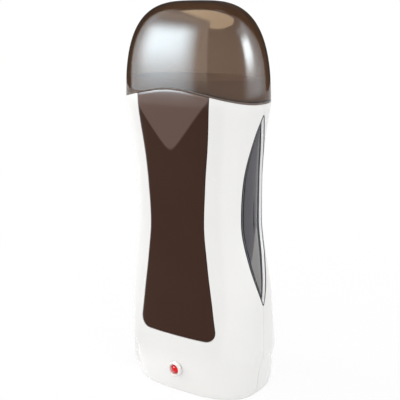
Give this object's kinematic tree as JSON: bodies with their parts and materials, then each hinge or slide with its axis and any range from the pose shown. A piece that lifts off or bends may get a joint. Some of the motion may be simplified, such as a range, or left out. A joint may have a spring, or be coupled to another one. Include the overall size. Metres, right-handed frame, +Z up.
{
  "type": "roll on wax heater",
  "caption": "Waisted upright heater that warms a roll-on wax cartridge, with a lift-off domed cover, side windows, a front panel and an indicator lamp.",
  "frame": {"origin": "on the flat underside, in the middle plane between left and right, midway between the front of the shoulders and the heel at the back", "axes": "+Z up, front with the panel and the lamp faces -Y, mains inlet on the left side at -X"},
  "size_m": [0.0828, 0.0648, 0.205],
  "materials": {
    "white_shell": "smooth glossy off-white",
    "brown_panel": "glossy dark brown",
    "smoke_cover": "glossy translucent smoke brown",
    "smoke_window": "glossy smoke grey",
    "aluminium": "drawn, satin",
    "steel": "zinc plated",
    "brass_pins": "turned, bright",
    "tinned_case": "tinned",
    "ceramic": "matte ceramic",
    "mica": "layered mica sheet",
    "cradle_plastic": "heat-resistant moulding",
    "silicone": "soft matte",
    "board": "green lacquer",
    "black_plastic": "satin black",
    "red_lamp": "clear red resin",
    "resistor_body": "lacquered",
    "brown_lead": "insulation",
    "blue_lead": "insulation",
    "black_lead": "insulation"
  },
  "bodies": {
    "heater": {"board_screw_left": "steel", "board_screw_right": "steel", "cartridge_collar": "white_shell", "cartridge_rest": "silicone", "circuit_board": "board", "clamp_screw_left": "steel", "clamp_screw_right": "steel", "cup_cradle": "cradle_plastic", "dropper_resistor": "resistor_body", "front_housing": "white_shell", "front_panel": "brown_panel", "fuse_lead": "brown_lead", "heater_clamp": "steel", "heater_lead": "blue_lead", "heating_cup": "aluminium", "housing_screw_1": "steel", "housing_screw_2": "steel", "housing_screw_3": "steel", "housing_screw_4": "steel", "indicator_bezel": "white_shell", "indicator_lamp": "red_lamp", "inlet_pin_front": "brass_pins", "inlet_pin_rear": "brass_pins", "insulator_sheet": "mica", "lamp_lead_left": "black_lead", "lamp_lead_right": "black_lead", "live_lead": "brown_lead", "neutral_lead": "blue_lead", "power_inlet": "black_plastic", "ptc_heater": "ceramic", "rear_housing": "white_shell", "rectifier_diode": "black_plastic", "terminal_block": "cradle_plastic", "thermal_fuse": "tinned_case", "thermostat": "steel", "window_left": "smoke_window", "window_right": "smoke_window"},
    "cover": {"cover": "smoke_cover"}
  },
  "joints": [
    {"name": "cover_lift", "type": "slide", "parent": "heater", "child": "cover", "axis": [0, 0, 1], "range_m": [0, 0.035]}
  ]
}
